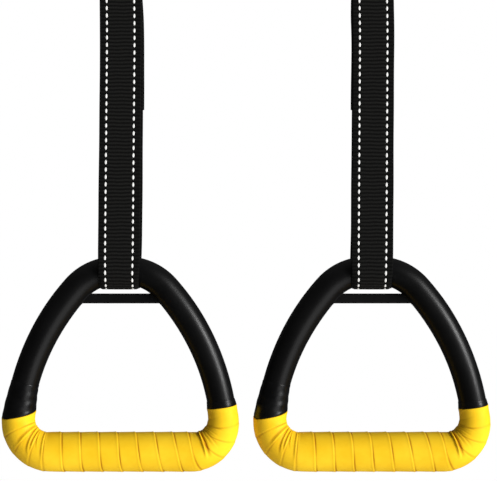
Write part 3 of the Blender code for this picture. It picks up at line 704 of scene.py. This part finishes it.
def band_mesh(name, side, size, ripple):
    """Finishing tape on a leg: several turns, ending in a lip against the grip tape."""
    upper, upper_r, lower_r = size
    around = turns(96)[None, :]
    low = tape_edge(side, around) + 0.15 * MM
    high = p_at_drop(upper) - 0.8 * MM * np.cos(around) + 0.5 * MM * np.sin(2 * around)
    share = np.linspace(0, 1, 60)[:, None]
    along = low + (high - low) * share
    radius = lower_r + (upper_r - lower_r) * smooth(share) + 0 * around
    radius = radius + ripple * np.sin(share * 19 + 2 * np.sin(around)) * smooth(share / 0.2)
    radius = radius + 0.25 * MM * mound((share - 0.04) / 0.06)
    ends = np.minimum(share, 1 - share) * (high - low)
    radius = radius - 0.45 * MM * (1 - smooth(ends / (0.5 * MM)))
    radius = np.maximum(radius, TUBE_R + 0.25 * MM)
    outer = round_points(side * along, around, radius)
    inner = round_points(side * along[::6], around, TUBE_R + 0.05 * MM)
    return torus(name, np.concatenate([outer, inner[::-1]]), 60)


# --- webbing --------------------------------------------------------------------------------------

# its route, as in the CAD: (y, height above the tube's axis, bend radius), in mm
WEB_ROUTE = (
    (9.05, 346, 0), (9.05, 322, 5), (12.2, 313, 5), (12.2, 303.7, 4.3), (3.6, 303.7, 4.3), (3.6, 313, 5),
    (6.75, 322, 5), (6.6, 368.6, 6.6), (-6.6, 368.6, 6.6), (-17, -16.3, 16.3), (17, -16.3, 16.3),
    (9.1, 264, 16.3), (9.1, 292.5, 2.5), (14.1, 292.5, 2.5), (14.1, 255, 14), (30, 236, 14), (32, 185, 14),
    (35, 150, 0),
)
WEB_STEP = 0.85 * MM
RIB_PITCH = 3.36 * MM
RIB = 0.25 * MM
LINE_X = 12.6 * MM  # the two stitched lines, from the middle
EDGE_ROUND = 0.9 * MM
LEAN_LOW, LEAN_HIGH = -1.1 * MM, 0.6 * MM  # how far the strap hangs to the right, at the tube and above
REAR_ASIDE = 0.7 * MM  # and how much further its rear run does


def rounded_route():
    """The route's points with its corners turned by arcs."""
    points = []
    for i, (y, h, radius) in enumerate(WEB_ROUTE):
        here = Vector((y, h)) * MM
        if not radius:
            points.append(here)
            continue
        back = (Vector(WEB_ROUTE[i - 1][:2]) * MM - here).normalized()
        on = (Vector(WEB_ROUTE[i + 1][:2]) * MM - here).normalized()
        turn = math.pi - back.angle(on)
        reach = radius * MM * math.tan(turn / 2)
        centre = here + (back + on).normalized() * math.hypot(radius * MM, reach)
        start, end = here + back * reach - centre, here + on * reach - centre
        sign = 1 if start.x * end.y - start.y * end.x > 0 else -1
        steps = max(2, math.ceil(turn / math.radians(5)))
        for k in range(steps + 1):
            c, s = math.cos(sign * turn * k / steps), math.sin(sign * turn * k / steps)
            points.append(centre + Vector((start.x * c - start.y * s, start.x * s + start.y * c)))
    return np.array([p for i, p in enumerate(points) if not i or (p - points[i - 1]).length > 0.01 * MM])


def web_line():
    """(s, points, normals) at equal steps along the webbing. Normals point into the loop."""
    route = rounded_route()
    run = np.concatenate([[0], np.cumsum(np.linalg.norm(np.diff(route, axis=0), axis=1))])
    s = np.linspace(0, run[-1], round(run[-1] / WEB_STEP) + 1)
    points = np.stack([np.interp(s, run, route[:, i]) for i in (0, 1)], -1)
    along = np.gradient(points, axis=0)
    along /= np.linalg.norm(along, axis=1)[:, None]
    return s, points, np.stack([-along[:, 1], along[:, 0]], -1)


WEB_S, WEB_POINTS, WEB_NORMAL = web_line()
WEB_LENGTH = WEB_S[-1]


def web_width(height):
    """Half of the webbing's width at a height above the tube's axis. It is drawn in round the tube."""
    share = smooth((height + 17 * MM) / WEB_NARROW)
    return WEB_HALF_AT_TUBE + (WEB_HALF - WEB_HALF_AT_TUBE) * share


def web_aside(y, height):
    """How far the webbing hangs to the right: it leans, and its rear run shows past its front one."""
    rear = smooth((y + 8 * MM) / (16 * MM)) * smooth((height + 10 * MM) / (50 * MM))
    lean = LEAN_LOW + (LEAN_HIGH - LEAN_LOW) * np.clip(height / (230 * MM), 0, 1)
    return (lean + rear * REAR_ASIDE) * smooth((262 * MM - height) / (60 * MM))


def web_point(s, across, off):
    """Points on the webbing: across is -1 to 1 of its half width, and off is out of its middle."""
    s, across, off = np.broadcast_arrays(s, across, off)
    y, h, ny, nh = (np.interp(s, WEB_S, a) for a in (*WEB_POINTS.T, *WEB_NORMAL.T))
    wrap = smooth((4 * MM - h) / (14 * MM))  # 1 round the underside of the tube
    pinch = 1 - wrap * 1.6 * np.clip((np.abs(across) - 0.86) / 0.14, 0, 1) * (off < 0)
    x = across * web_width(h) + web_aside(y, h)
    return np.stack([x, y + ny * off * pinch, Z_TUBE + h + nh * off * pinch], -1)


def web_mesh():
    """The woven strip: cross ribs between its stitched lines, and rounded selvedges."""
    edge = np.array([0, 0.25, 0.6, 1.0]) * EDGE_ROUND / WEB_HALF
    inner = np.linspace(-1 + edge[-1] + 0.02, 1 - edge[-1] - 0.02, 21)
    columns = np.concatenate([-1 + edge, inner, (1 - edge)[::-1]])
    from_edge = np.clip((1 - np.abs(columns)) * WEB_HALF / EDGE_ROUND, 0, 1)
    body = np.sqrt(1 - (1 - from_edge) ** 2)
    face_x = np.concatenate([columns, columns[::-1][1:-1]])[None, :]
    sign = np.concatenate([-np.ones_like(columns), np.ones(len(columns) - 2)])[None, :]
    body = np.concatenate([body, body[::-1][1:-1]])[None, :]
    s = WEB_S[:, None]
    lines = np.abs(np.abs(face_x) - LINE_X / WEB_HALF) * WEB_HALF
    between = smooth((LINE_X / WEB_HALF - np.abs(face_x)) / 0.07)
    wobble = 0.3 * np.sin(face_x * 3 + s / (23 * MM)) + 0.25 * np.sin(face_x * 9 - s / (9 * MM))
    rib = 0.5 + 0.5 * np.cos(math.tau * s / RIB_PITCH + wobble)
    rib = rib * (0.5 + 0.5 * between)
    thick = WEB_THICK / 2 - RIB + RIB * rib - 0.12 * MM * mound(lines / (0.8 * MM))
    ripple = 1 + 0.004 * np.sin(s / (31 * MM)) + 0.003 * np.sin(s / (11 * MM) + 2)
    grid = web_point(s, face_x * ripple, sign * thick * body)
    faces = capped_faces(*grid.shape[:2])
    # the rib share also goes to the material, where it paints the rib crests lighter: painted light
    mesh = finished("webbing", grid.reshape(-1, 3), faces, 60, rib=rib + 0 * face_x)
    layer = mesh.uv_layers.new(name="weave")
    spots = np.stack(np.broadcast_arrays(face_x * WEB_HALF / MM, s / MM), -1).reshape(-1, 2)
    vertex = np.zeros(len(mesh.loops), int)
    mesh.loops.foreach_get("vertex_index", vertex)
    layer.data.foreach_set("uv", spots[vertex].reshape(-1))
    return mesh


def capsules(name, starts, ends, width, height, place_at):
    """Stitches: one rounded capsule from each start to its end, both as (s, across, off) for place_at."""
    lengthwise = np.array([-1.0, -0.93, -0.7, -0.35, 0, 0.35, 0.7, 0.93, 1.0])
    size = np.sqrt(1 - lengthwise**2)
    size[[0, -1]] = 0.15
    around = turns(8)
    points, faces = [], []
    count = len(lengthwise) * len(around)
    one = capped_faces(len(lengthwise), len(around))
    for i, (a, b) in enumerate(zip(starts, ends)):
        a, b = np.array(a, float), np.array(b, float)
        middle, half = (a + b) / 2, (b - a) / 2
        flat = half[:2] * (1.0, WEB_HALF)
        aside = np.array([-flat[1], flat[0]]) / np.linalg.norm(flat)
        line = middle + lengthwise[:, None] * half
        step = size[:, None] * np.cos(around)[None, :] * width / 2
        s = line[:, :1] + aside[0] * step
        across = line[:, 1:2] + aside[1] * step / WEB_HALF
        off = line[:, 2:3] + size[:, None] * np.sin(around)[None, :] * height / 2
        points.append(place_at(s, across, off).reshape(-1, 3))
        faces += [[vertex + i * count for vertex in face] for face in one]
    return finished(name, np.concatenate(points), faces, 60)


DASH_PITCH, DASH_LENGTH, DASH_WIDTH, DASH_HEIGHT = 2 * RIB_PITCH, 4.1 * MM, 2.0 * MM, 0.9 * MM
FIRST_DASH = 5.2 * MM  # from the webbing's sewn end


def dash_mesh():
    """The two stitched lines: a running stitch that shows on both faces by turns."""
    starts, ends = [], []
    count = int((WEB_LENGTH - FIRST_DASH - 6 * MM) / DASH_PITCH)
    for line in (-1, 1):
        across = line * LINE_X / WEB_HALF
        for k in range(count):
            for face, shift in ((-1, 0.0), (1, 0.5)):
                s = FIRST_DASH + (k + shift) * DASH_PITCH + (0.4 * MM if line > 0 else 0)
                off = face * (WEB_THICK / 2 - 0.18 * MM)
                starts.append((s, across, off))
                ends.append((s + DASH_LENGTH, across, off))
    return capsules("web_stitching", starts, ends, DASH_WIDTH, DASH_HEIGHT, web_point)


def tack_mesh():
    """The box of stitches that holds the webbing's sewn end down."""
    low, high, side = 3 * MM, 22 * MM, 0.8
    corners = ((low, -side), (low, side), (high, side), (high, -side),
               (low, -side), (high, side), (low, side), (high, -side))
    starts, ends = [], []
    for (s0, x0), (s1, x1) in zip(corners, corners[1:]):
        length = math.hypot(s1 - s0, (x1 - x0) * WEB_HALF)
        count = round(length / (3 * MM))
        for k in range(count):
            a, b = (k + 0.12) / count, (k + 0.88) / count
            off = WEB_THICK / 2 - 0.1 * MM
            starts.append((s0 + (s1 - s0) * a, x0 + (x1 - x0) * a, -off))
            ends.append((s0 + (s1 - s0) * b, x0 + (x1 - x0) * b, -off))
    return capsules("end_stitching", starts, ends, 0.9 * MM, 0.7 * MM, web_point)


# --- hardware -------------------------------------------------------------------------------------


def eased_copy(node_name, material, width):
    """A CAD piece's own shape with its edges eased."""
    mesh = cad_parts[f"left_{node_name}"].data.copy()
    bm = bmesh.new()
    bm.from_mesh(mesh)
    bmesh.ops.remove_doubles(bm, verts=bm.verts, dist=0.005 * MM)
    bmesh.ops.dissolve_limit(bm, angle_limit=math.radians(1), verts=bm.verts, edges=bm.edges)
    edges = [e for e in bm.edges if len(e.link_faces) == 2 and e.calc_face_angle() > math.radians(38)]
    bmesh.ops.bevel(
        bm, geom=edges, offset=width, segments=2, profile=0.6, affect="EDGES", clamp_overlap=True
    )
    bmesh.ops.triangulate(bm, faces=[f for f in bm.faces if len(f.verts) > 4])
    bm.to_mesh(mesh)
    bm.free()
    mesh.materials.clear()
    mesh.materials.append(material)
    mesh.shade_smooth()
    mesh.set_sharp_from_angle(angle=math.radians(34))
    return mesh


# --- the pair -------------------------------------------------------------------------------------


BUCKLE = ("buckle_frame", "anchor_bar", "cam_axle", "cam_spring", "cam_lever")


def make_pair():
    coat = black_coat()
    # the third colour is painted light, for the crests of the webbing's ribs
    strap = weave((0.0007, 0.0007, 0.0008), (0.0013, 0.0013, 0.0012), (0.0117, 0.0117, 0.0108), 0.8)
    yellow, black, pad = yellow_tape(), black_tape(), foam()
    white, dark = thread("white_thread", (0.9, 0.9, 0.88)), thread("black_thread", (0.03, 0.03, 0.03))
    zinc = metal("cast_zinc", (0.6, 0.61, 0.63), (0.8, 0.81, 0.83), 0.28, 0.46, (500, 500, 60))
    steel = metal("plated_steel", (0.5, 0.51, 0.53), (0.72, 0.73, 0.75), 0.25, 0.42, (60, 700, 700))
    meshes = {
        "handle_tube": (tube_mesh(), coat), "cross_bar": (cross_bar_mesh(), coat),
        "grip_tape": (tape_mesh(), yellow), "grip_pad": (pad_mesh(), pad),
        "wide_band": (band_mesh("wide_band", -1, WIDE_BAND, 0.12 * MM), black),
        "narrow_band": (band_mesh("narrow_band", 1, NARROW_BAND, 0.05 * MM), black),
    }
    slots = {"handle_tube": "black_coat", "cross_bar": "black_coat", "grip_tape": "yellow_tape",
             "grip_pad": "foam", "wide_band": "black_tape", "narrow_band": "black_tape"}
    welds = {"left_end": weld_mesh(-1), "right_end": weld_mesh(1)}
    web, dashes, tack = web_mesh(), dash_mesh(), tack_mesh()
    hardware = (
        ("hook_body", "hook", "zinc", zinc, 0.5), ("latch", "latch", "zinc", zinc, 0.35),
        ("latch_pin", "hook", "steel", steel, 0.3), ("latch_spring", "hook", "steel", steel, 0.05),
        ("swivel_eye", "swivel", "zinc", zinc, 0.4), ("swivel_washer", "swivel", "steel", steel, 0.2),
        ("buckle_frame", "strap", "steel", steel, 0.45), ("anchor_bar", "strap", "steel", steel, 0.3),
        ("cam_axle", "strap", "steel", steel, 0.3), ("cam_spring", "strap", "steel", steel, 0.05),
        ("cam_lever", "cam", "zinc", zinc, 0.3), ("tube_spigot", "handle", "steel", steel, 0.3),
    )
    eased = {name: eased_copy(name, material, width * MM) for name, _, _, material, width in hardware}
    for side in SIDES:
        for name, (mesh, material) in meshes.items():
            piece = set_piece(f"{name}_skin", mesh, side, "handle", material, slots[name], name)
        for end, mesh in welds.items():
            set_piece(f"weld_{end}", mesh, side, "handle", coat, "black_coat")
        fittings = {}
        for name, body, slot, material, _ in hardware:
            fittings[name] = set_piece(f"{name}_eased", eased[name], side, body, material, slot, name)
        strap_piece = set_piece("webbing_woven", web, side, "strap", strap, "webbing", "webbing")
        on_it = [
            set_piece("web_stitching", dashes, side, "strap", white, "webbing"),
            set_piece("end_stitching", tack, side, "strap", dark, "webbing"),
            *(fittings[name] for name in BUCKLE),
        ]


make_camera()
make_studio()
make_floor()
make_pair()
